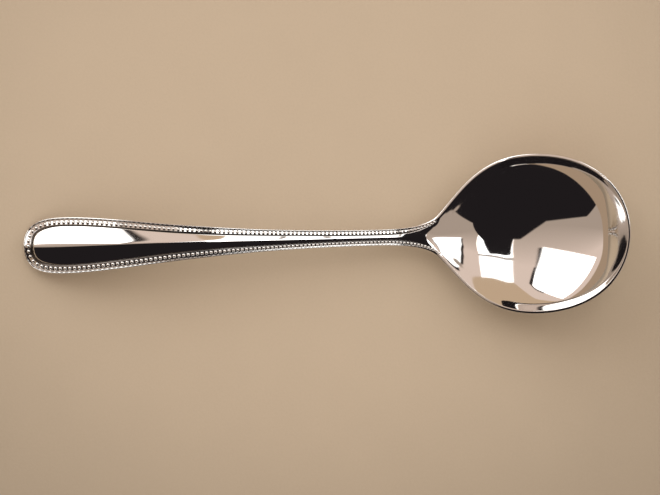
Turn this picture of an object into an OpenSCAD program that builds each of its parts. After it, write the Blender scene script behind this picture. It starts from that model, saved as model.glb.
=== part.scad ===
// Round-bowled soup spoon of struck, polished steel with a beaded border round its handle.
// Millimetres. +X runs from the handle's end to the bowl's tip, +Z is up.
// The spoon lies on Z = 0, on its bowl and its handle's end, and X = 0 is half way along it.

/* [Plan] */
// Length from the handle's end to the narrowest point of the stem
handle_len = 103; // [85:1:125]
// Length from the narrowest point of the stem to the bowl's shoulders
neck_len = 17.5; // [12:0.5:24]
// Length from the shoulders to the widest point of the bowl
bowl_back = 27.5; // [22:0.5:34]
// Length from the widest point of the bowl to its tip
bowl_front = 27; // [22:0.5:34]
// Width across the handle's rounded end
handle_w = 16.4; // [13:0.2:22]
// Length of the rounded end, up to its widest point
end_len = 12; // [8:0.5:18]
// Width of the stem where it is narrowest
stem_w = 4.7; // [4.2:0.1:7]
// Width across the shoulders, where the beading dies out
shoulder_w = 12.4; // [9:0.2:15]
// Angle at which the outline leaves the shoulders, in degrees
flare = 47.5; // [40:0.5:55]
// Width across the bowl
bowl_w = 46; // [38:0.5:56]

/* [Side view] */
// Height of the handle's edge at the top of its arch
arch_z = 13; // [12:0.5:16]
// Place of the arch's top, as a share of the handle's length
arch_share = 0.46; // [0.42:0.01:0.54]
// Fall of the stem towards the bowl, in degrees
stem_fall = 6.5; // [5:0.5:8]
// Rise of the bowl's rim towards the tip, in degrees
rim_tilt = 11.5; // [8:0.5:13]
// Depth of the bowl below its rim
bowl_depth = 11.4; // [8:0.1:12.5]
// Place of the bowl's deepest point below its rim, as a share of the way from shoulders to tip
deep_share = 0.505; // [0.46:0.005:0.58]
// Length by which the hollow starts before the shoulders
hollow_lead = 5.5; // [4:0.5:9]
// Roundness of the hollow across: 1 is a plain dish, less has a flatter floor and steeper walls
bowl_round = 0.85; // [0.6:0.05:1]
// Roundness across at the shoulders: above 1 the walls flare towards the rim
shoulder_round = 1.2; // [1:0.05:1.4]
// Roundness of the hollow from its deepest point to the tip
front_round = 0.65; // [0.5:0.05:1]

/* [Metal] */
// Thickness of the edge at the handle's end
end_t = 1.7; // [1.2:0.1:2.6]
// Thickness of the edge along the stem
stem_t = 2.4; // [1.8:0.1:3.4]
// Fall of the rounded back below the handle's edges
back_round = 0.3; // [0:0.05:0.8]
// Thickness of the bowl at its floor
bowl_t = 1.3; // [0.9:0.05:2]
// Extra thickness of the heel, under the back of the bowl
heel_t = 1.4; // [0.6:0.1:2.4]
// Width of the bowl's polished rim
rim_w = 0.8; // [0.5:0.05:1.2]
// Height of the bowl's outer edge
rim_t = 0.95; // [0.7:0.05:1.3]

/* [Handle face] */
// Width of the beaded border at the handle's end
border_end = 2.4; // [2:0.05:3.2]
// Width of the beaded border along the stem
border_stem = 1.45; // [1.2:0.05:1.7]
// Width of the plain lip outside the beads, at the handle's end
lip_end = 0.62; // [0.4:0.02:0.8]
// Width of the plain lip outside the beads, along the stem
lip_stem = 0.46; // [0.4:0.02:0.6]
// Height of the lip above the bed of the beads
lip_h = 0.22; // [0.1:0.02:0.4]
// Rise of the bed of the beads, inwards, for each millimetre of its width
bed_slope = 0.12; // [0:0.01:0.2]
// Width of the step up to the plain panel, at the handle's very end
step_end = 0.9; // [0.3:0.05:1.2]
// Width of the step up to the plain panel, along the sides
step_side = 0.35; // [0.2:0.05:0.5]
// Height of the step up to the plain panel
step_h = 0.3; // [0.1:0.02:0.5]
// Rise of the plain panel to its middle, at the handle's end
crown_end = 1.3; // [0.6:0.05:1.5]
// Rise of the plain panel to its middle, along the stem
crown_stem = 0.24; // [0.1:0.02:0.4]
// Roundness of the panel's ridge, as a share of half the panel's width
ridge_round = 0.2; // [0.1:0.02:0.6]

/* [Beads] */
// Distance between neighbouring beads at the handle's end
pitch_end = 1.58; // [1.3:0.02:2]
// Distance between neighbouring beads at the shoulders
pitch_neck = 1; // [0.9:0.02:1.3]
// Width of a bead as a share of the distance to the next
bead_fill = 0.84; // [0.6:0.02:0.98]
// Height of a bead as a share of half its width
bead_rise = 0.72; // [0.4:0.02:0.95]

/* [Hidden] */
steel = [0.80, 0.79, 0.77];
bead_steel = [0.72, 0.71, 0.69];

// Stations along the spoon
stem_at = handle_len;
shoulder_at = stem_at + neck_len;
widest_at = shoulder_at + bowl_back;
spoon_len = widest_at + bowl_front;
shoulder = [shoulder_at, shoulder_w / 2];
flare_way = [cos(flare), sin(flare)];

// Small sizes that follow from the way the spoon is struck and ground
edge_r = 0.35;
rim_under = 0.2;

// Half of the outline, as curves that run on from one another from the handle's end to the tip
outline = [
    [[0, 0], [0, 0.77 * handle_w / 2], [end_len / 3, handle_w / 2], [end_len, handle_w / 2]],
    [
        [end_len, handle_w / 2],
        [end_len + 0.2 * (stem_at - end_len), handle_w / 2],
        [stem_at - 0.55 * (stem_at - end_len), stem_w / 2],
        [stem_at, stem_w / 2]
    ],
    [
        [stem_at, stem_w / 2],
        [stem_at + 0.45 * neck_len, stem_w / 2],
        shoulder - 0.25 * neck_len * flare_way,
        shoulder
    ],
    [
        shoulder,
        shoulder + 0.36 * bowl_back * flare_way,
        [widest_at - 0.55 * bowl_back, bowl_w / 2],
        [widest_at, bowl_w / 2]
    ],
    [
        [widest_at, bowl_w / 2],
        [widest_at + 0.59 * bowl_front, bowl_w / 2],
        [spoon_len, 0.59 * bowl_w / 2],
        [spoon_len, 0]
    ]
];
outline_steps = [14, 36, 16, 22, 22];
split_step = 8;

// A curve that starts with short strides has its steps evened out
outline_even = [0, 0.5, 0, 0, 0];
function step_t(c, i) = let (t = i / outline_steps[c]) t * (1 + outline_even[c] * (1 - t));

// Steps across the face, and across the back so that both halves of a section pair up
face_steps = 8;
back_steps = face_steps + 4;

function mix(a, b, t) = a + (b - a) * t;
function ease(t) = let (c = min(1, max(0, t))) c * c * (3 - 2 * c);
function ramp(x, from, to) = ease((x - from) / (to - from));
function unit(v) = v / norm(v);
function sum(list, count) = count == 0 ? 0 : list[count - 1] + sum(list, count - 1);

function bezier(p, t) =
    pow(1 - t, 3) * p[0] + 3 * pow(1 - t, 2) * t * p[1] + 3 * (1 - t) * t * t * p[2] + pow(t, 3) * p[3];

// Points of the outline, and the way out of the metal at each
stations = concat(
    [
        for (c = [0 : len(outline) - 1])
            for (i = [0 : outline_steps[c] - 1])
                bezier(outline[c], step_t(c, i))
    ],
    [[spoon_len, 0]]
);
last = len(stations) - 1;
outward = [
    for (i = [0 : last])
        let (along = stations[min(i + 1, last)] - stations[max(i - 1, 0)])
        i == 0 ? [-1, 0] : i == last ? [1, 0] : unit([-along.y, along.x])
];
function inset(i, d) = stations[i] - d * outward[i];

// The nodes meet at these stations
split_i = outline_steps[0] + split_step;
neck_i = sum(outline_steps, 2);
bowl_i = sum(outline_steps, 3) + 1;

// Height of the edge: an arch, a straight fall along the stem, then the tilted rim of the bowl
arch_at = arch_share * handle_len;
arch_drop = (arch_z - end_t) / pow((arch_at - edge_r) / arch_at, 2);
fall_at = arch_at + tan(stem_fall) * arch_at * arch_at / (2 * arch_drop);
function arch(u) =
    let (bend = (arch_at - min(u, fall_at)) / arch_at)
    arch_z - arch_drop * bend * bend - tan(stem_fall) * max(0, u - fall_at);
function rim_rise(u) = tan(rim_tilt) * (u - widest_at);
function rim_share(u) = ramp(u, stem_at - 0.24 * neck_len, shoulder_at + 0.71 * bowl_back);
function edge_z(u) = mix(arch(u), rim_z + rim_rise(u), rim_share(u));

// The hollow's share of its full depth, by the way out from its middle
function dish(f, round) = 1 - round * f * f - (1 - round) * pow(f, 4);
hollow_from = shoulder_at - hollow_lead;
deep_at = shoulder_at + deep_share * (bowl_back + bowl_front);
front_len = spoon_len - rim_w - deep_at;
// The bend runs on without a break past the deepest point
heel_soft = min(1, front_round / 3 * pow((deep_at - hollow_from) / front_len, 2));
function heel_dip(t) =
    1 - heel_soft * pow(1 - t, 2) * (1 + 2 * t) - (1 - heel_soft) * pow(1 - t, 4) * (1 + 4 * t);
function hollow(u, tip) =
    u < deep_at
        ? heel_dip(max(0, (u - hollow_from) / (deep_at - hollow_from)))
        : dish(min(1, (u - deep_at) / (tip - deep_at)), front_round);
outer_depth = bowl_depth + bowl_t - rim_t;
function across(u, f) = dish(f, mix(shoulder_round, bowl_round, ramp(u, shoulder_at, widest_at)));
function heel(u) = heel_t * (1 - ramp(u, shoulder_at - 0.2 * neck_len, widest_at - 0.15 * bowl_back));

// Drop of the bowl's back below the rim line, in the middle of a station
function keel(i) =
    let (q = inset(i, rim_under))
    rim_t + outer_depth * hollow(q.x, spoon_len - rim_under) + heel(q.x);

// The rim's height at the widest point lets the bowl's back just touch the table
rim_z = max([
    for (i = [bowl_i : last])
        let (u = inset(i, rim_under).x, share = rim_share(u))
        if (share > 0.5) (keel(i) - (1 - share) * arch(u)) / share - rim_rise(u)
]);

// Sizes of the handle's section along its length
slim_from = 0.36 * stem_at;
slim_to = 0.82 * stem_at;
function slim(u, wide, narrow) = mix(wide, narrow, ramp(u, slim_from, slim_to));
function border(u) = slim(u, border_end, border_stem);
function lip(u) = slim(u, lip_end, lip_stem);
function crown(u) = slim(u, crown_end, crown_stem);
function step_w(u) = mix(step_end, step_side, ramp(u, 0, end_len));
function edge_t(u) = mix(end_t, stem_t, ramp(u, 0, stem_at));
function bed_rise(u) = bed_slope * (border(u) - lip(u)) - lip_h;
function back_fall(u) = back_round * ramp(u, 0, end_len);

// Share of the crown's rise across half the panel: two gentle slopes with a rounded ridge
function roof(f) =
    let (r = ridge_round)
    (sqrt(1 + r * r) - sqrt(f * f + r * r)) / (sqrt(1 + r * r) - r);

// Half a section of the handle: plain panel, step, bed of the beads, lip, edge and back
function handle_half(i) =
    let (
        u = stations[i].x,
        t = edge_t(u),
        panel = inset(i, border(u) + step_w(u)),
        back = inset(i, edge_r),
        edge = [
            [border(u), bed_rise(u)],
            [lip(u), -lip_h],
            [0.72 * lip(u), -0.02],
            [0.42 * lip(u), 0],
            [0, -edge_r],
            [0, edge_r - t],
            [edge_r, -t]
        ]
    )
    concat(
        [
            for (j = [0 : face_steps])
                let (f = j / face_steps, rise = bed_rise(u) + step_h + crown(u) * roof(f))
                [panel.x, f * panel.y, edge_z(panel.x) + rise]
        ],
        [for (e = edge) let (q = inset(i, e[0])) [q.x, q.y, edge_z(q.x) + e[1]]],
        [
            for (j = [1 : back_steps])
                let (f = 1 - j / back_steps)
                [back.x, f * back.y, edge_z(back.x) - t - back_fall(back.x) * (1 - f * f)]
        ]
    );

// Half a section of the bowl: hollow, rim, edge and back
function bowl_half(i) =
    let (
        inner = inset(i, rim_w),
        outer = inset(i, rim_under),
        face = concat([for (j = [0 : face_steps]) 0.9 * j / face_steps], [0.94, 0.97, 1]),
        edge = [[0.45 * rim_w, -0.08], [0, -0.45 * rim_t], [0, -0.7 * rim_t], [rim_under, -rim_t]]
    )
    concat(
        [
            for (f = face)
                let (dip = bowl_depth * hollow(inner.x, spoon_len - rim_w) * across(inner.x, f))
                [inner.x, f * inner.y, edge_z(inner.x) - dip]
        ],
        [for (e = edge) let (q = inset(i, e[0])) [q.x, q.y, edge_z(q.x) + e[1]]],
        [
            for (j = [1 : back_steps])
                let (
                    f = 1 - j / back_steps,
                    full = outer_depth * hollow(outer.x, spoon_len - rim_under),
                    dip = full * across(outer.x, f) + heel(outer.x) * (1 - f * f)
                )
                [outer.x, f * outer.y, edge_z(outer.x) - rim_t - dip]
        ]
    );

// The handle's section turns into the bowl's along the neck
turn_from = stem_at + 0.35 * neck_len;
turn_to = shoulder_at + 0.07 * bowl_back;
function half_section(i) =
    let (t = ramp(stations[i].x, turn_from, turn_to))
    t == 0 ? handle_half(i) : t == 1 ? bowl_half(i) : mix(handle_half(i), bowl_half(i), t);

sections = [for (i = [0 : last]) half_section(i)];
half_n = len(sections[0]) - 1;
ring_n = 2 * half_n;
face_n = face_steps + 5;
function flip(p) = [p.x, -p.y, p.z];
function on_half(k) = k <= half_n ? k : ring_n - k;
function ring(i) = [
    for (k = [0 : ring_n - 1])
        k <= half_n ? sections[i][k] : flip(sections[i][ring_n - k])
];

// At the two ends of the spoon a section closes to a line, so its two sides share their points
function closed(i) = i == 0 || i == last;
function line_from(i) = i == 0 ? face_steps : face_steps + 3;
function line_k(i, k) = min(max(on_half(k), line_from(i)), half_n - back_steps);
function at(i, k, from) = (i - from) * ring_n + (closed(i) ? line_k(i, k % ring_n) : k % ring_n);
function is_face(f) = f[0] != f[1] && f[1] != f[2] && f[2] != f[0];

// A cap joins each point of the face to the one below it on the back
function cap(i, from) = [
    for (k = [0 : face_n - 1])
        for (side = [0, 1])
            let (
                a = side == 0 ? k : ring_n - k,
                b = side == 0 ? k + 1 : ring_n - k - 1,
                c = side == 0 ? half_n - k - 1 : half_n + k + 1,
                d = side == 0 ? half_n - k : half_n + k,
                quad = [at(i, a, from), at(i, b, from), at(i, c, from), at(i, d, from)]
            )
            each side == 0
                ? [[quad[0], quad[1], quad[2]], [quad[0], quad[2], quad[3]]]
                : [[quad[2], quad[1], quad[0]], [quad[3], quad[2], quad[0]]]
];
function turned(faces) = [for (f = faces) [f[2], f[1], f[0]]];

// The solid between two stations
module stretch(from, to) {
    points = [for (i = [from : to]) each ring(i)];
    skin = [
        for (i = [from : to - 1])
            for (k = [0 : ring_n - 1])
                let (
                    a = at(i, k, from),
                    b = at(i, k + 1, from),
                    c = at(i + 1, k + 1, from),
                    d = at(i + 1, k, from)
                )
                each k < half_n ? [[a, b, c], [a, c, d]] : [[b, c, d], [b, d, a]]
    ];
    start = closed(from) ? [] : turned(cap(from, from));
    end = closed(to) ? [] : cap(to, from);
    translate([-spoon_len / 2, 0, 0])
        polyhedron(points, [for (f = concat(skin, start, end)) if (is_face(f)) f], convexity = 6);
}

// The two edges of the bed on which the beads sit, with the distance along it
rail_n = neck_i + outline_steps[2] - 2;
bed_in = [for (i = [0 : rail_n]) sections[i][face_steps + 1]];
bed_out = [for (i = [0 : rail_n]) sections[i][face_steps + 2]];
bed = (bed_in + bed_out) / 2;
bed_at = [
    for (i = 0, s = 0; i <= rail_n; s = s + (i < rail_n ? norm(bed[i + 1] - bed[i]) : 0), i = i + 1) s
];
bed_len = bed_at[rail_n];
function along_bed(list, s) = [
    for (axis = [0 : 2])
        lookup(s, [for (i = [0 : rail_n]) [bed_at[i], list[i][axis]]])
];

// The pitch falls evenly along the bed, so the distance to each bead grows by a power law
pitch_fall = (pitch_neck - pitch_end) / bed_len;
bead_n = floor(ln(pitch_neck / pitch_end) / pitch_fall);
function bead_s(k) = pitch_end * (exp(pitch_fall * k) - 1) / pitch_fall;

// One bead: the top of a ball, standing on the bed
module bead(r) {
    h = bead_rise * r;
    ball = (r * r + h * h) / (2 * h);
    difference() {
        translate([0, 0, h - ball])
            sphere(ball, $fn = 24);
        translate([-2 * ball, -2 * ball, -4 * ball])
            cube(4 * ball);
    }
}

// Bead number k, with the bed's own slope
module seated_bead(k) {
    s = bead_s(k);
    r = bead_fill * (pitch_end + pitch_fall * s) / 2;
    reach = 0.2;
    ahead = along_bed(bed, s + reach) - along_bed(bed, max(0, s - reach));
    way = k == 0 ? [0, 1, 0] : unit(ahead);
    up = unit(cross(along_bed(bed_in, s) - along_bed(bed_out, s), way));
    translate(along_bed(bed, s))
        rotate([0, acos(up.z), atan2(up.y, up.x)])
            bead(r);
}

module bowl() {
    color(steel)
        stretch(bowl_i, last);
}

module neck() {
    color(steel)
        stretch(neck_i, bowl_i);
}

module stem() {
    color(steel)
        stretch(split_i, neck_i);
}

module handle_end() {
    color(steel)
        stretch(0, split_i);
}

module bead_border() {
    color(bead_steel)
        translate([-spoon_len / 2, 0, 0]) {
            seated_bead(0);
            for (k = [1 : bead_n])
                for (side = [0, 1])
                    mirror([0, side, 0])
                        seated_bead(k);
        }
}

bowl();
neck();
stem();
handle_end();
bead_border();
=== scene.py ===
from math import cos, exp, floor, log, pi, radians, sin, sqrt, tan

import bmesh
import bpy
from mathutils import Matrix, Vector


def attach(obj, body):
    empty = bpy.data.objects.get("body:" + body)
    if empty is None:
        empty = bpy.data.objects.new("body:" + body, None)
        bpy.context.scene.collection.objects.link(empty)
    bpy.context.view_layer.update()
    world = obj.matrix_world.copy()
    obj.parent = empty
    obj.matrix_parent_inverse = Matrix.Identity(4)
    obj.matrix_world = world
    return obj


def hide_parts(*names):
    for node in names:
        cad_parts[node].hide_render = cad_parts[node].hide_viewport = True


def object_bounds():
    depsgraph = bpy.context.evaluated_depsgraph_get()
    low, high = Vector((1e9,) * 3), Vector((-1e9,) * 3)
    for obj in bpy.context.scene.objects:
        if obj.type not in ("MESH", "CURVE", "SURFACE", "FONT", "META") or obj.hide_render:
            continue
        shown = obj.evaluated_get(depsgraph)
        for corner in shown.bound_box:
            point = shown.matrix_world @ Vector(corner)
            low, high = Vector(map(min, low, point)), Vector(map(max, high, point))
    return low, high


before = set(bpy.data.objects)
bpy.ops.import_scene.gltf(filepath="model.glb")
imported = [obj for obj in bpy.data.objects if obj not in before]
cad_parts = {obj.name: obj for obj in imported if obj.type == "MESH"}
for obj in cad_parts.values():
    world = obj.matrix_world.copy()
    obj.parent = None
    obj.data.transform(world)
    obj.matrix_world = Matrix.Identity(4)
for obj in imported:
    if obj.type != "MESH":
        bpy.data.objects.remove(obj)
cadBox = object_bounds()
scene = bpy.context.scene
scene.view_settings.view_transform = "Standard"
mm = 0.001
print("frame loaded:", len(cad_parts), "nodes")


# camera straight above the spoon, turned a little, for a picture of 660 x 495
photoView = {
    "distance": 0.9,  # from the lens to the spoon's middle height, metres
    "level": 0.009,  # that height
    "width": 0.1904,  # what the picture's width covers there
    "aim": (0.0016, -0.0025),
    "turn": -1.43,  # degrees
    "sensor": 36,
}


def placeCamera(view):
    lens = bpy.data.cameras.new("photoCamera")
    lens.sensor_width = view["sensor"]
    lens.lens = view["sensor"] * view["distance"] / view["width"]
    camera = bpy.data.objects.new("photoCamera", lens)
    scene.collection.objects.link(camera)
    camera.location = (*view["aim"], view["level"] + view["distance"])
    camera.rotation_euler = (0, 0, radians(view["turn"]))
    scene.camera = camera


placeCamera(photoView)


class Wire:
    # one socket of a node tree, so that shader maths reads as plain sums
    def __init__(self, tree, socket=None):
        self.tree = tree
        self.socket = socket

    # adds a node: settings first, then the values or links of its sockets
    def node(self, kind, settings=None, sockets=None, output=0):
        made = self.tree.nodes.new(kind)
        for key, value in (settings or {}).items():
            setattr(made, key, value)
        for key, value in (sockets or {}).items():
            if isinstance(value, Wire):
                self.tree.links.new(value.socket, made.inputs[key])
            else:
                made.inputs[key].default_value = value
        return Wire(self.tree, made.outputs[output] if made.outputs else None)

    def maths(self, operation, first, second, clamp=False):
        settings = {"operation": operation, "use_clamp": clamp}
        return self.node("ShaderNodeMath", settings, {0: first, 1: second})

    def __add__(self, other):
        return self.maths("ADD", self, other)

    def __radd__(self, other):
        return self.maths("ADD", other, self)

    def __sub__(self, other):
        return self.maths("SUBTRACT", self, other)

    def __rsub__(self, other):
        return self.maths("SUBTRACT", other, self)

    def __mul__(self, other):
        return self.maths("MULTIPLY", self, other)

    def __truediv__(self, other):
        return self.maths("DIVIDE", self, other)

    def __rtruediv__(self, other):
        return self.maths("DIVIDE", other, self)

    def __pow__(self, other):
        return self.maths("POWER", self, other)

    def atLeast(self, other):
        return self.maths("MAXIMUM", self, other)

    # 0 below the start, 1 above the end
    def between(self, start, end):
        return self.maths("MULTIPLY", self - start, 1 / (end - start), clamp=True)

    def colour(self, first, second):
        settings = {"data_type": "RGBA"}
        return self.node("ShaderNodeMix", settings, {0: self, 6: first, 7: second}, output=2)


def paint(red, green, blue):
    return (red, green, blue, 1)


def freshMaterial(name):
    material = bpy.data.materials.new(name)
    material.use_nodes = True
    material.node_tree.nodes.clear()
    return material, Wire(material.node_tree)


def closeMaterial(wires, shader):
    wires.node("ShaderNodeOutputMaterial", None, {"Surface": shader})


# the studio as the spoon sees it: places are tangents of the lean from straight up,
# (to the right, to the back), lines are (back at the middle, slope to the right),
# and a level of 1 is what a white card shows
studio = {
    "boxLevels": (3.0, 4.5, 2.0, 2.0),
    "boxColour": paint(1.0, 0.985, 0.965),
    "softBoxes": [
        [(-0.478, 0.34), (-0.412, 2.03), (-4.0, 9.74), (-2.92, 1.5)],  # left
        [(-0.14, -0.10), (-0.02, 0.675), (0.45, 0.875), (0.24, -0.10)],  # middle, above its bar
        [(0.0, 0.75), (0.31, 2.03), (1.32, 2.95), (0.48, 0.955)],  # middle, below it
        [  # right
            (0.69, 0.115),
            (0.80, 0.58),
            (1.35, 1.51),
            (2.75, 3.4),
            (3.9, 4.9),
            (3.4, 2.2),
            (1.95, 0.15),
        ],
    ],
    "bars": [
        [(-0.03, 0.67), (0.49, 0.895), (0.50, 0.965), (-0.005, 0.747)],
    ],
    "frames": [
        [(-0.49, 0.35), (-0.425, 0.35), (-0.425, 0.95), (-0.45, 0.95)],
        [(-0.46, 0.95), (-0.40, 0.95), (-0.262, 1.85), (-0.42, 2.04)],
        [(-0.262, 1.85), (-0.41, 2.03), (-1.0, 3.29), (-0.93, 3.3)],
        [(0.662, 0.18), (0.80, 0.716), (1.40, 1.74), (2.50, 3.25), (3.0, 3.7), (1.2, 0.2)],
    ],
    "wallLow": paint(0.47, 0.37, 0.30),
    "wallHigh": paint(0.84, 0.66, 0.56),
    "wallRise": (-0.2, 0.9),  # from the darker to the lighter wall
    "paper": paint(0.63, 0.45, 0.30),
    "paperEdges": [(2.77, -2.3), (1.69, 0.926)],
    "paperSoft": (0.07, 0.06),
    "farPaper": paint(0.44, 0.31, 0.21),
    "farEdge": (-3.8, -0.27),  # right at the middle, slope to the back
    "farSoft": 0.08,
    "backdrop": paint(0.56, 0.46, 0.36),
    "cloth": paint(0.016, 0.013, 0.014),
    "clothEdge": (0.59, 0.72),
    "clothLeft": (0.62, 4.6),
    "clothFar": [(0.13, 0), (0.389, 1.317), (-0.16, 0.27)],
    "flapSide": 0.19,
    "flapEdges": [(0.68, -2.58), (-0.04, -1.13)],
    "bar": paint(0.42, 0.38, 0.35),
    "frame": paint(0.03, 0.022, 0.02),
    "fill": paint(0.85, 0.80, 0.74),  # what the floor gets from the front
    "soft": 0.02,
    "lowest": 0.004,  # keeps the tangents finite at the horizon
}


def lightStudio(kit):
    world = bpy.data.worlds.new("studio")
    world.use_nodes = True
    world.node_tree.nodes.clear()
    scene.world = world
    wires = Wire(world.node_tree)
    way = wires.node("ShaderNodeTexCoord")
    parts = [wires.node("ShaderNodeSeparateXYZ", None, {0: way}, output=i) for i in range(3)]
    height = parts[2].atLeast(kit["lowest"])
    right = parts[0] / height
    back = parts[1] / height
    soft = kit["soft"]

    def side(start, end):  # 1 to the left of a line
        run = (Vector(end) - Vector(start)).normalized()
        away = back * run.x - right * run.y + (start[0] * run.y - start[1] * run.x)
        return away.between(-soft, soft)

    def panel(corners):
        ring = list(zip(corners, corners[1:] + corners[:1]))
        if sum(a[0] * b[1] - b[0] * a[1] for a, b in ring) < 0:
            ring = [(b, a) for a, b in ring[::-1]]
        mask = side(*ring[0])
        for start, end in ring[1:]:
            mask = mask * side(start, end)
        return mask

    def below(line, blur=soft):  # 1 where the way lies in front of a line
        start, slope = line
        return (right * slope + start - back).between(-blur, blur)

    look = back.between(*kit["wallRise"]).colour(kit["wallLow"], kit["wallHigh"])
    first, second = (1 - below(*edge) for edge in zip(kit["paperEdges"], kit["paperSoft"]))
    look = (first * second).colour(look, kit["paper"])
    start, slope = kit["farEdge"]
    farSweep = (back * slope + start - right).between(-kit["farSoft"], kit["farSoft"])
    look = farSweep.colour(look, kit["farPaper"])
    for corners in kit["frames"]:
        look = panel(corners).colour(look, kit["frame"])
    level = 1.0
    for corners, boxLevel in zip(kit["softBoxes"], kit["boxLevels"]):
        mask = panel(corners)
        look = mask.colour(look, kit["boxColour"])
        level = level + mask * (boxLevel - 1)
    for corners in kit["bars"]:
        mask = panel(corners)
        look = mask.colour(look, kit["bar"])
        level = level * (1 - mask) + mask
    # the dark cloth hangs in front: a flap over the middle box, a straight edge to each side
    flap = (kit["flapSide"] - right).between(-soft, soft)
    for line in kit["flapEdges"]:
        flap = flap.atLeast(below(line))
    nearEdge, *farEdges = [below(line) for line in kit["clothFar"]]
    away = nearEdge * farEdges[0].atLeast(farEdges[1])
    cloth = below(kit["clothEdge"]) * flap * below(kit["clothLeft"]).atLeast(away)
    cloth = cloth * (1 - farSweep)
    look = cloth.colour(look, kit["cloth"])
    level = level * (1 - cloth) + cloth
    # the floor is lit from the front too, past the cloth
    front = cloth * wires.node("ShaderNodeLightPath", output=2)
    look = front.colour(look, kit["fill"])
    # a plain backdrop behind the spoon in low views
    seen = wires.node("ShaderNodeLightPath", output=0)
    look = seen.colour(look, kit["backdrop"])
    level = level * (1 - seen) + seen
    shine = wires.node("ShaderNodeBackground", None, {"Color": look, "Strength": level})
    wires.node("ShaderNodeOutputWorld", None, {"Surface": shine})


lightStudio(studio)
print("studio lit")


# tan paper under the spoon, with a painted pool of light: brighter round the spoon, darker further
# away
tablePaper = {
    "half": 4.0,  # metres
    "colour": (0.552, 0.449, 0.333),
    "edge": 0.55,  # painted shade far from the spoon
    "pool": (0.0, 0.036, 0.13, 0.112),  # middle and reach of the painted light pool
    "falloff": (0.84, 2.4),  # weight and power of its edge
    "even": 0.94,
    "mottle": 0.05,
    "mottleScale": 60,
    "fibre": 0.07,
    "fibreScale": 1400,
    "bump": 0.25,
    "bumpHeight": 0.0001,
    "rough": 0.85,
    "specular": 0.2,
}


def layPaper(kit):
    material, wires = freshMaterial("tablePaper")
    place = wires.node("ShaderNodeTexCoord", output=3)
    x = wires.node("ShaderNodeSeparateXYZ", None, {0: place}, output=0)
    y = wires.node("ShaderNodeSeparateXYZ", None, {0: place}, output=1)
    atX, atY, reachX, reachY = kit["pool"]
    far = ((x - atX) / reachX) ** 2 + ((y - atY) / reachY) ** 2
    weight, power = kit["falloff"]
    pool = 1 / (far ** power * weight + 1)
    coarse = {"Vector": place, "Scale": kit["mottleScale"], "Detail": 4}
    fine = {"Vector": place, "Scale": kit["fibreScale"], "Detail": 3}
    mottle = wires.node("ShaderNodeTexNoise", None, coarse)
    fibre = wires.node("ShaderNodeTexNoise", None, fine)
    # painted light: the pool brightens the paper round the spoon and fades to the edge shade
    # further off
    shade = pool * (1 - kit["edge"]) + kit["edge"]
    shade = shade * (mottle * kit["mottle"] + fibre * kit["fibre"] + kit["even"])
    scaled = {0: kit["colour"], "Scale": shade}
    tone = wires.node("ShaderNodeVectorMath", {"operation": "SCALE"}, scaled)
    relief = {"Strength": kit["bump"], "Distance": kit["bumpHeight"], "Height": fibre}
    surface = {
        "Base Color": tone,
        "Roughness": kit["rough"],
        "Specular IOR Level": kit["specular"],
        "Normal": wires.node("ShaderNodeBump", None, relief),
    }
    closeMaterial(wires, wires.node("ShaderNodeBsdfPrincipled", None, surface))
    sheet = bmesh.new()
    bmesh.ops.create_grid(sheet, x_segments=2, y_segments=2, size=kit["half"])
    mesh = bpy.data.meshes.new("tablePaper")
    sheet.to_mesh(mesh)
    sheet.free()
    mesh.materials.append(material)
    paper = bpy.data.objects.new("tablePaper", mesh)
    scene.collection.objects.link(paper)


layPaper(tablePaper)
print("paper laid")


# mirror-polished steel: faint smears, hairlines along the spoon, and painted shade in the struck
# corners, where the corner attribute makes it darker and rougher
steelFinish = {
    "colour": paint(0.80, 0.79, 0.775),
    # colour of the painted shade in the struck corners
    "corner": paint(0.10, 0.088, 0.08),
    "rough": 0.03,
    "smear": 0.035,
    "hairline": 0.03,
    "bump": 0.02,
}
beadFinish = {
    "colour": paint(0.78, 0.77, 0.75),
    # colour of the painted shade at the beads' feet and corners
    "corner": paint(0.09, 0.08, 0.07),
    "rough": 0.07,
    "smear": 0.05,
    "hairline": 0.04,
    "bump": 0.03,
}
steelGrain = {  # for both
    "smearScale": 55,
    "smearRange": (0.42, 0.72),
    "hairScale": (60, 5200, 5200),  # long along the spoon
    "hairRange": (0.62, 0.78),
    "cornerRough": 0.25,
    "bumpHeight": 0.00002,
}


def steelMaterial(name, kit, grain):
    material, wires = freshMaterial(name)
    place = wires.node("ShaderNodeTexCoord", output=3)
    corner = wires.node("ShaderNodeAttribute", {"attribute_name": "corner"}, output=2)
    cloudy = {"Vector": place, "Scale": grain["smearScale"], "Detail": 5, "Roughness": 0.6}
    smear = wires.node("ShaderNodeTexNoise", None, cloudy)
    stretched = {"Vector": place, "Scale": grain["hairScale"]}
    along = wires.node("ShaderNodeMapping", None, stretched)
    hair = wires.node("ShaderNodeTexNoise", None, {"Vector": along, "Scale": 1, "Detail": 2})
    marks = hair.between(*grain["hairRange"]) * kit["hairline"]
    film = smear.between(*grain["smearRange"]) * kit["smear"]
    relief = {"Strength": kit["bump"], "Distance": grain["bumpHeight"], "Height": hair}
    surface = {
        # painted shade: the steel turns to the corner colour where the corner attribute is high
        "Base Color": corner.between(0.0, 1.0).colour(kit["colour"], kit["corner"]),
        "Metallic": 1.0,
        "Roughness": film + marks + corner * grain["cornerRough"] + kit["rough"],
        "Normal": wires.node("ShaderNodeBump", None, relief),
    }
    closeMaterial(wires, wires.node("ShaderNodeBsdfPrincipled", None, surface))
    return material


polishedSteel = steelMaterial("polishedSteel", steelFinish, steelGrain)
beadSteel = steelMaterial("beadSteel", beadFinish, steelGrain)
print("steel mixed")


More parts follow.
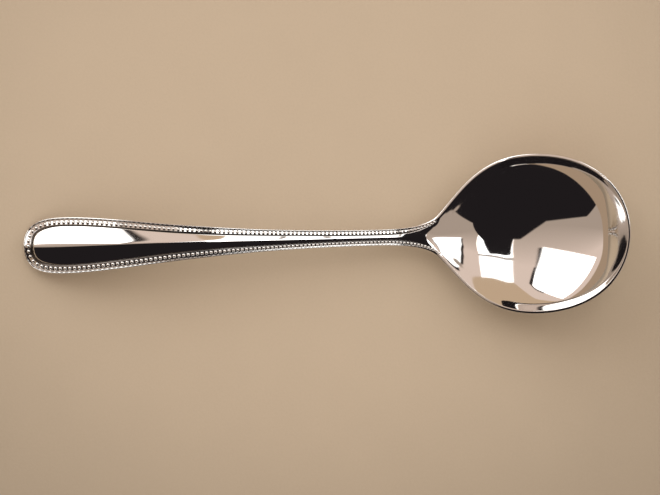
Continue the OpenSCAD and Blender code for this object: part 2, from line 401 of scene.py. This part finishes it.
# sizes of the spoon in millimetres and degrees, x from the handle's end to the bowl's tip
outlineForm = {
    "handleLength": 103,
    "neckLength": 17.5,
    "bowlBack": 27.5,
    "bowlFront": 27,
    "handleWidth": 16.4,
    "endLength": 12,
    "stemWidth": 4.7,
    "shoulderWidth": 12.4,
    "flare": 47.5,
    "bowlWidth": 46,
}


def mix(first, second, share):
    return first + (second - first) * share


def ease(t):
    t = min(1, max(0, t))
    return t * t * (3 - 2 * t)


def ramp(x, start, end):
    return ease((x - start) / (end - start))


stemAt = outlineForm["handleLength"]
shoulderAt = stemAt + outlineForm["neckLength"]
widestAt = shoulderAt + outlineForm["bowlBack"]
spoonLength = widestAt + outlineForm["bowlFront"]


# how far the curves run on along their ends, as shares of their lengths or widths
curvePull = {
    "end": 0.77,
    "taper": (0.2, 0.55),
    "neck": (0.45, 0.25),
    "back": (0.36, 0.55),
    "front": 0.59,
}


# half of the outline as five curves that run on from one another
def outlineCurves(form, pull):
    end = Vector((form["endLength"], form["handleWidth"] / 2))
    stem = Vector((stemAt, form["stemWidth"] / 2))
    shoulder = Vector((shoulderAt, form["shoulderWidth"] / 2))
    widest = Vector((widestAt, form["bowlWidth"] / 2))
    first, tip = Vector((0, 0)), Vector((spoonLength, 0))
    ahead, across = Vector((1, 0)), Vector((0, 1))
    away = Vector((cos(radians(form["flare"])), sin(radians(form["flare"]))))
    afterEnd, beforeStem = (share * (stem.x - end.x) for share in pull["taper"])
    afterStem, beforeShoulder = (share * form["neckLength"] for share in pull["neck"])
    afterShoulder, beforeWidest = (share * form["bowlBack"] for share in pull["back"])
    afterWidest = pull["front"] * form["bowlFront"]
    beforeTip = pull["front"] * widest.y
    return [
        [first, first + pull["end"] * end.y * across, end - end.x * 2 / 3 * ahead, end],
        [end, end + afterEnd * ahead, stem - beforeStem * ahead, stem],
        [stem, stem + afterStem * ahead, shoulder - beforeShoulder * away, shoulder],
        [shoulder, shoulder + afterShoulder * away, widest - beforeWidest * ahead, widest],
        [widest, widest + afterWidest * ahead, tip + beforeTip * across, tip],
    ]


curves = outlineCurves(outlineForm, curvePull)


class Station:
    # a point of the outline, with the way out of the metal
    def __init__(self, curve, t):
        a, b, c, d = curves[curve]
        s = 1 - t
        self.curve, self.t = curve, t
        self.point = s ** 3 * a + 3 * s * s * t * b + 3 * s * t * t * c + t ** 3 * d
        run = s * s * (b - a) + 2 * s * t * (c - b) + t * t * (d - c)
        self.out = Vector((-run.y, run.x)).normalized()
        self.x = self.point.x

    def inset(self, distance):
        return self.point - distance * self.out


# height of the edge: an arch, a straight fall along the stem, then the tilted rim
sideForm = {
    "archHeight": 13,
    "archShare": 0.46,  # of the handle's length
    "stemFall": 6.5,
    "rimTilt": 11.5,
    "endThick": 1.7,
    "stemThick": 2.4,
    "backFall": 0.3,
    "edgeRound": 0.35,
    "rimFrom": 0.24,  # of the neck's length, before the neck
    "rimTo": 0.71,  # of the bowl's back half
}
archAt = sideForm["archShare"] * stemAt
archDrop = sideForm["archHeight"] - sideForm["endThick"]
archDrop /= (1 - sideForm["edgeRound"] / archAt) ** 2
fallRate = tan(radians(sideForm["stemFall"]))
fallAt = archAt + fallRate * archAt ** 2 / (2 * archDrop)
rimRate = tan(radians(sideForm["rimTilt"]))


def archLine(x):
    away = (archAt - min(x, fallAt)) / archAt
    return sideForm["archHeight"] - archDrop * away ** 2 - fallRate * max(0, x - fallAt)


def rimShare(x):
    start = stemAt - sideForm["rimFrom"] * outlineForm["neckLength"]
    return ramp(x, start, shoulderAt + sideForm["rimTo"] * outlineForm["bowlBack"])


def edgeHeight(x):
    return mix(archLine(x), rimLevel + rimRate * (x - widestAt), rimShare(x))


# the hollow of the bowl and its back
bowlForm = {
    "depth": 11.4,
    "deepShare": 0.505,  # of the way from the shoulders to the tip
    "hollowLead": 5.5,
    "roundAcross": 0.85,
    "roundShoulders": 1.2,
    "roundAlong": 0.65,
    "wallAcross": (0.09, 0.92, 0.015),  # steeper band below the rim: share, start, softness
    "wallAlong": (0.14, 0.78, 0.03),
    "wallFrom": 0.55,  # of the way from the shoulders to the widest place
    "roundInside": (0.95, 1.45),  # inner face: across, at the shoulders
    "faceStops": (0.9, 0.94, 0.97, 1.0),  # shares of the half width, closer near the rim
    "thick": 1.3,
    "heel": 1.4,
    "heelFrom": 0.2,  # of the neck's length, before the shoulders
    "heelTo": 0.15,  # of the bowl's back half, before the widest place
    "rimWidth": 0.8,
    "rimHeight": 0.95,
    "rimUnder": 0.2,
    "rimFlat": 0.25,  # of the points along the rim's top, before it turns down
    "rimFall": 0.08,
    "rimRound": 0.45,  # of the rim's width and height
    "rimSide": 0.7,  # of its height
}


# 0 below zero and t above it, with a soft corner
def bend(t, soft):
    return (t + sqrt(t * t + soft * soft)) / 2


noWall = (0, 0.9, 0.1)  # a share of nothing


# 1 in the middle and 0 at the edge: rounded, with a steeper wall that starts near the edge
def dish(f, rounding, wall=noWall):
    share, start, soft = wall
    low, high = bend(-start, soft), bend(1 - start, soft)
    steep = (bend(f - start, soft) - low) / (high - low)
    return 1 - (1 - share) * (rounding * f ** 2 + (1 - rounding) * f ** 4) - share * steep


hollowFrom = shoulderAt - bowlForm["hollowLead"]
deepAt = mix(shoulderAt, spoonLength, bowlForm["deepShare"])
heelSoft = ((deepAt - hollowFrom) / (spoonLength - bowlForm["rimWidth"] - deepAt)) ** 2
heelSoft = min(1, bowlForm["roundAlong"] / 3 * heelSoft)  # the bend runs on past the deepest point


# share of the bowl's full depth along its middle, for the back or, with a wall, the inner face
def hollow(x, tip, *wall):
    if x > deepAt:
        return dish(min(1, (x - deepAt) / (tip - deepAt)), bowlForm["roundAlong"], *wall)
    s = 1 - max(0, (x - hollowFrom) / (deepAt - hollowFrom))
    return 1 - mix(s ** 4 * (5 - 4 * s), s ** 2 * (3 - 2 * s), heelSoft)


# share of that depth across a section, on the back and on the inner face
def acrossBack(x, f):
    grow = ramp(x, shoulderAt, widestAt)
    return dish(f, mix(bowlForm["roundShoulders"], bowlForm["roundAcross"], grow))


def acrossFace(x, f):
    grow = ramp(x, shoulderAt, widestAt)
    share, start, soft = bowlForm["wallAcross"]
    widest, shoulder = bowlForm["roundInside"]
    steep = share * ramp(x, mix(shoulderAt, widestAt, bowlForm["wallFrom"]), widestAt)
    return dish(f, mix(shoulder, widest, grow), (steep, start, soft))


outerDepth = bowlForm["depth"] + bowlForm["thick"] - bowlForm["rimHeight"]


def heel(x):
    start = shoulderAt - bowlForm["heelFrom"] * outlineForm["neckLength"]
    end = widestAt - bowlForm["heelTo"] * outlineForm["bowlBack"]
    return bowlForm["heel"] * (1 - ramp(x, start, end))


def keel(x):
    tip = spoonLength - bowlForm["rimUnder"]
    return bowlForm["rimHeight"] + outerDepth * hollow(x, tip) + heel(x)


# the rim is as high as lets the bowl's back just touch the table
def lowestRim():
    level, stride, tries = 0, 0.1, 540
    for step in range(1, tries):
        x = shoulderAt + stride * step
        share = rimShare(x)
        needed = (keel(x) - (1 - share) * archLine(x)) / share - rimRate * (x - widestAt)
        level = max(level, needed)
    return level


rimLevel = lowestRim()


# points round half a section: panel, step, bed of the beads, lip, edge, side, corner, back
ringSteps = {
    "panel": 20,
    "step": 8,
    "bed": 4,
    "lip": 6,
    "edge": 8,
    "side": 3,
    "corner": 5,
    "back": 17,
}
ringHalf = sum(ringSteps.values())
ringMiddle = (ringHalf - 1) // 2  # up to here an open end's points count as its upper side


# the handle's face: a ridged panel, a step down to the bed of the beads, a raised lip
handleForm = {
    "border": (2.4, 1.45),  # at the end, along the stem
    "lip": (0.62, 0.46),
    "lipHeight": 0.46,
    "bedSlope": 0.3,
    "step": (0.9, 0.35),  # at the very end, along the sides
    "stepHeight": 0.22,
    "groove": 0.09,
    "crown": (1.6, 0.24),
    "ridgeRound": 0.09,
    "slim": (0.36, 0.82),  # where these sizes change, as shares of the handle's length
    "lipTop": 0.5,  # of the lip's width
    "stepFoot": 0.8,  # shares of the step's width: where it ends, where its painted shade is darkest, where it has its groove
    "stepShade": 0.5,
    "grooveFrom": 0.4,
    "bedShade": 0.2,  # painted shade at the bed's sides, and at the lip's foot
    "lipShade": 0.85,
}


# from the size at the end to the size along the stem
def slim(x, ends):
    start, end = handleForm["slim"]
    return mix(*ends, ramp(x, start * stemAt, end * stemAt))


# height of the ridge across the panel, 1 in the middle and 0 at its edge
def roof(f):
    r = handleForm["ridgeRound"]
    return (sqrt(1 + r * r) - sqrt(f * f + r * r)) / (sqrt(1 + r * r) - r)


def shares(name):
    return [(j + 1) / ringSteps[name] for j in range(ringSteps[name])]


# the handle's half section as (place, painted shade of the corner)
def handleHalf(at):
    x = at.x
    border = slim(x, handleForm["border"])
    lip = slim(x, handleForm["lip"])
    crown = slim(x, handleForm["crown"])
    stepWidth = mix(*handleForm["step"], ramp(x, 0, outlineForm["endLength"]))
    thick = mix(sideForm["endThick"], sideForm["stemThick"], ramp(x, 0, stemAt))
    lipHeight, stepHeight = handleForm["lipHeight"], handleForm["stepHeight"]
    corner = sideForm["edgeRound"]
    bedSpan = handleForm["bedSlope"] * (border - lip)
    bedRise = bedSpan * at.out.y - lipHeight
    panelRise = bedSpan - lipHeight + stepHeight
    fall = sideForm["backFall"] * ramp(x, 0, outlineForm["endLength"])
    panel = at.inset(border + stepWidth)
    spread = panel.y
    if at.curve == 0:  # the ridge runs on through the border to the very end
        spread = outlineForm["handleWidth"] / 2 - border - stepWidth
    half = []

    def ridge(y):
        return crown * roof(min(1, y / spread))

    def put(distance, rise, dark=0.0, raised=1.0):
        spot = at.inset(distance)
        rise += raised * ridge(spot.y)
        half.append((Vector((spot.x, spot.y, edgeHeight(spot.x) + rise)), dark))

    for f in [0] + shares("panel"):
        rise = panelRise + ridge(f * panel.y)
        half.append((Vector((panel.x, f * panel.y, edgeHeight(panel.x) + rise)), 0.0))
    grooveFrom = handleForm["grooveFrom"]
    # painted shade grows towards the step's foot, and lies at the bed's sides and the lip's foot
    for s in shares("step"):
        groove = handleForm["groove"] * sin(pi * max(0, s - grooveFrom) / (1 - grooveFrom))
        rise = mix(panelRise, bedRise, ease(s / handleForm["stepFoot"])) - groove
        put(border + stepWidth * (1 - s), rise, ease(s / handleForm["stepShade"]))
    for s in shares("bed"):
        dark = handleForm["bedShade"] * (2 * s - 1) ** 2
        put(mix(border, lip, s), mix(bedRise, -lipHeight, s), dark)
    lipTop = handleForm["lipTop"] * lip
    for s in shares("lip"):
        put(mix(lip, lipTop, s), -lipHeight * (1 - ease(s)), handleForm["lipShade"] * (1 - s) ** 2)
    for s in shares("edge"):
        turn = s * pi / 2
        put(lipTop * (1 - sin(turn)), -corner * (1 - cos(turn)))
    for s in shares("side"):
        put(0, mix(-corner, corner - thick, s), raised=1 - s)
    for s in shares("corner"):
        turn = s * pi / 2
        put(corner * (1 - cos(turn)), corner - thick - corner * sin(turn), raised=0)
    under = at.inset(corner)
    for s in shares("back"):
        rise = -thick - fall * (1 - (1 - s) ** 2)
        half.append((Vector((under.x, (1 - s) * under.y, edgeHeight(under.x) + rise)), 0.0))
    return half


# the bowl's half section, with as many points
def bowlHalf(at):
    rimWidth, rimHeight, rimUnder = (bowlForm[k] for k in ("rimWidth", "rimHeight", "rimUnder"))
    flat, rimFall = bowlForm["rimFlat"], bowlForm["rimFall"]
    rimRound, rimSide = bowlForm["rimRound"], bowlForm["rimSide"]
    inner, outer = at.inset(rimWidth), at.inset(rimUnder)
    inside = bowlForm["depth"] * hollow(inner.x, spoonLength - rimWidth, bowlForm["wallAlong"])
    outside = outerDepth * hollow(outer.x, spoonLength - rimUnder)
    half = []

    def put(distance, rise):
        spot = at.inset(distance)
        half.append((Vector((spot.x, spot.y, edgeHeight(spot.x) + rise)), 0.0))

    faces, done = [0], 0
    for name, stop in zip(ringSteps, bowlForm["faceStops"]):
        faces += [mix(done, stop, s) for s in shares(name)]
        done = stop
    for f in faces:
        depth = inside * acrossFace(inner.x, f)
        half.append((Vector((inner.x, f * inner.y, edgeHeight(inner.x) - depth)), 0.0))
    for s in shares("edge"):
        if s <= flat:
            put(mix(rimWidth, rimRound * rimWidth, s / flat), -rimFall * s / flat)
        else:
            turn = (s - flat) / (1 - flat) * pi / 2
            drop = rimFall + (rimRound * rimHeight - rimFall) * (1 - cos(turn))
            put(rimRound * rimWidth * (1 - sin(turn)), -drop)
    for s in shares("side"):
        put(0, -mix(rimRound, rimSide, s) * rimHeight)
    for s in shares("corner"):
        turn = s * pi / 2
        put(rimUnder * (1 - cos(turn)), -rimHeight * mix(rimSide, 1, sin(turn)))
    for s in shares("back"):
        f = 1 - s
        drop = rimHeight + outside * acrossBack(outer.x, f) + heel(outer.x) * (1 - f * f)
        half.append((Vector((outer.x, f * outer.y, edgeHeight(outer.x) - drop)), 0.0))
    return half


# the handle's section turns into the bowl's along the neck
neckTurn = {
    "from": 0.35,  # of the neck's length
    "to": 0.07,  # of the bowl's back half
}
turnFrom = stemAt + neckTurn["from"] * outlineForm["neckLength"]
turnTo = shoulderAt + neckTurn["to"] * outlineForm["bowlBack"]


def halfSection(at):
    share = ramp(at.x, turnFrom, turnTo)
    if share == 0:
        return handleHalf(at)
    if share == 1:
        return bowlHalf(at)
    # the painted corner shade fades out as the handle's section turns into the bowl's
    pairs = zip(handleHalf(at), bowlHalf(at))
    return [(a.lerp(b, share), dark * (1 - share)) for (a, dark), (b, _) in pairs]


# each piece covers a stretch of the outline: curve, from, to, steps
splitShare = 0.2222  # where the solids are split: 8 of 36 steps, with the strides evened out
stepEven = 0.5
endSplit = splitShare * (1 + stepEven * (1 - splitShare))
bowlSplit = 1 / 22  # one step of 22 past the shoulders
stretches = [
    ("handleEnd", 0, 0, 1, 44),
    ("handleEnd", 1, 0, endSplit, 40),
    ("stem", 1, endSplit, 1, 84),
    ("neck", 2, 0, 1, 60),
    ("neck", 3, 0, bowlSplit, 4),
    ("bowl", 3, bowlSplit, 1, 68),
    ("bowl", 4, 0, 1, 90),
]
pieceNames = ["handleEnd", "stem", "neck", "bowl"]


def layStations():
    stations, rows = [Station(0, 0)], []
    for name, curve, start, end, steps in stretches:
        for j in range(steps):
            stations.append(Station(curve, mix(start, end, (j + 1) / steps)))
            rows.append(pieceNames.index(name))
    return stations, rows


stations, rowPiece = layStations()
sections = [halfSection(at) for at in stations]


# a flat grid, rolled round the spoon's surface and welded shut
def rollShell():
    shell = bmesh.new()
    rows, around = len(stations) - 1, 2 * ringHalf
    bmesh.ops.create_grid(shell, x_segments=rows, y_segments=around, size=1)
    piece = shell.faces.layers.int.new("piece")
    spot = shell.verts.layers.int.new("spot")
    # painted shade of the struck corners, read by the steel's material
    corner = shell.verts.layers.float.new("corner")
    row = {v: round((v.co.x + 1) / 2 * rows) for v in shell.verts}
    for face in shell.faces:
        face[piece] = rowPiece[min(row[v] for v in face.verts)]
    for vert in shell.verts:
        k = round((vert.co.y + 1) / 2 * around)
        onHalf = min(k, around - k)
        place, dark = sections[row[vert]][onHalf]
        turn = 1 if k <= ringHalf else -1
        place = Vector((place.x - spoonLength / 2, turn * place.y, place.z)) * mm
        vert.co = [min(max(c, low), high) for c, low, high in zip(place, *cadBox)]
        vert[spot] = onHalf
        vert[corner] = dark
    bmesh.ops.remove_doubles(shell, verts=shell.verts, dist=1e-6)
    bmesh.ops.recalc_face_normals(shell, faces=shell.faces)
    shell.normal_update()
    way = shell.verts.layers.float_vector.new("way")
    for vert in shell.verts:
        vert[way] = vert.normal
    return shell


def finishPiece(name, mesh, material, node):
    mesh.materials.append(material)
    piece = bpy.data.objects.new(name, mesh)
    scene.collection.objects.link(piece)
    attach(piece, "root")
    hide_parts(node)
    return piece


# closes each open end with a strip between its face and its back
def closeEnds(part):
    spot = part.verts.layers.int["spot"]
    left = {e for e in part.edges if e.is_boundary}
    while left:
        start = left.pop()
        loop, reach = [start], list(start.verts)
        while reach:
            for edge in reach.pop().link_edges:
                if edge in left:
                    left.remove(edge)
                    loop.append(edge)
                    reach += edge.verts
        face = [e for e in loop if max(v[spot] for v in e.verts) <= ringMiddle]
        back = [e for e in loop if min(v[spot] for v in e.verts) > ringMiddle]
        bmesh.ops.bridge_loops(part, edges=face + back)
    bmesh.ops.recalc_face_normals(part, faces=part.faces)
    if part.calc_volume(signed=True) < 0:
        bmesh.ops.reverse_faces(part, faces=part.faces)


def cutPiece(shell, number, name, node):
    part = shell.copy()
    layer = part.faces.layers.int["piece"]
    others = [f for f in part.faces if f[layer] != number]
    bmesh.ops.delete(part, geom=others, context="FACES")
    closeEnds(part)
    way = part.verts.layers.float_vector["way"]
    ways = [tuple(v[way]) for v in part.verts]
    part.verts.layers.float_vector.remove(way)
    for face in part.faces:
        face.smooth = True
    mesh = bpy.data.meshes.new(name)
    part.to_mesh(mesh)
    part.free()
    mesh.normals_split_custom_set_from_vertices(ways)  # no seam shows where pieces meet
    return finishPiece(name, mesh, polishedSteel, node)


shell = rollShell()
for number, (name, node) in enumerate(zip(pieceNames, ("handle_end", "stem", "neck", "bowl"))):
    made = cutPiece(shell, number, name + "Steel", node)
    print(made.name, len(made.data.polygons), "faces")
shell.free()


# the struck beads, smaller towards the neck
beadForm = {
    "pitchEnd": 1.58,
    "pitchNeck": 1.0,
    "fill": 0.84,
    "rise": 0.72,
    "sink": 0.02,
    "lastShare": 0.875,  # of the neck's curve
    # painted shade round each bead's foot, and how far up the bead it reaches
    "footShade": 0.9,
    "footShare": 0.3,  # of a bead's height
    "look": 0.2,  # how far to each side the way of the row is taken
}


def singleBead(form):
    rise = form["rise"]
    ball = (1 + rise * rise) / (2 * rise)
    bead = bmesh.new()
    bmesh.ops.create_uvsphere(bead, u_segments=12, v_segments=8, radius=ball)
    bmesh.ops.translate(bead, vec=(0, 0, rise - ball), verts=bead.verts)
    every = bead.verts[:] + bead.edges[:] + bead.faces[:]
    floorPlane = {"plane_co": (0, 0, 0), "plane_no": (0, 0, 1)}
    bmesh.ops.bisect_plane(bead, geom=every, clear_inner=True, **floorPlane)
    rim = [e for e in bead.edges if e.is_boundary]
    bmesh.ops.holes_fill(bead, edges=rim, sides=0)
    for edge in rim:
        edge.smooth = False
    for face in bead.faces:
        face.smooth = True
    # painted shade at the bead's foot, where it stands on the bed
    corner = bead.verts.layers.float.new("corner")
    for vert in bead.verts:
        low = max(0, 1 - vert.co.z / (form["footShare"] * rise))
        vert[corner] = form["footShade"] * low ** 2
    mesh = bpy.data.meshes.new("singleBead")
    bead.to_mesh(mesh)
    bead.free()
    return mesh


# the inner and outer border of the bed that the beads stand on
def bedRail():
    inner = ringSteps["panel"] + ringSteps["step"]
    outer = inner + ringSteps["bed"]
    rail = []
    for at, half in zip(stations, sections):
        if at.curve < 2 or at.curve == 2 and at.t <= beadForm["lastShare"]:
            rail.append((half[inner][0], half[outer][0]))
    return rail


def layBeads(form):
    rail = bedRail()
    middle = [(a + b) / 2 for a, b in rail]
    along = [0]
    for a, b in zip(middle, middle[1:]):
        along.append(along[-1] + (b - a).length)

    def onRail(points, s):
        i = 0
        while i < len(along) - 2 and along[i + 1] < s:
            i += 1
        return points[i].lerp(points[i + 1], (s - along[i]) / (along[i + 1] - along[i]))

    fall = (form["pitchNeck"] - form["pitchEnd"]) / along[-1]
    count = floor(log(form["pitchNeck"] / form["pitchEnd"]) / fall)
    bead = singleBead(form)
    row = bmesh.new()
    for k in range(count + 1):
        s = form["pitchEnd"] * (exp(fall * k) - 1) / fall
        radius = form["fill"] * (form["pitchEnd"] + fall * s) / 2
        spot = onRail(middle, s)
        ahead = Vector((0, 1, 0))
        if k:
            ahead = onRail(middle, s + form["look"]) - onRail(middle, max(0, s - form["look"]))
        inward = onRail([a for a, b in rail], s) - onRail([b for a, b in rail], s)
        up = inward.cross(ahead).normalized()
        spot = spot - up * form["sink"] - Vector((spoonLength / 2, 0, 0))
        for side in (1, -1)[: 2 if k else 1]:
            row.from_mesh(bead)
            fresh = row.verts[-len(bead.vertices):]
            lean = Vector((up.x, side * up.y, up.z)).to_track_quat("Z", "Y").to_matrix().to_4x4()
            place = Matrix.Translation(Vector((spot.x, side * spot.y, spot.z)) * mm)
            place = place @ lean @ Matrix.Scale(radius * mm, 4)
            bmesh.ops.transform(row, matrix=place, verts=fresh)
    mesh = bpy.data.meshes.new("beadRow")
    row.to_mesh(mesh)
    row.free()
    bpy.data.meshes.remove(bead)
    print("beads:", 2 * count + 1)
    return finishPiece("beadRow", mesh, beadSteel, "bead_border")


layBeads(beadForm)
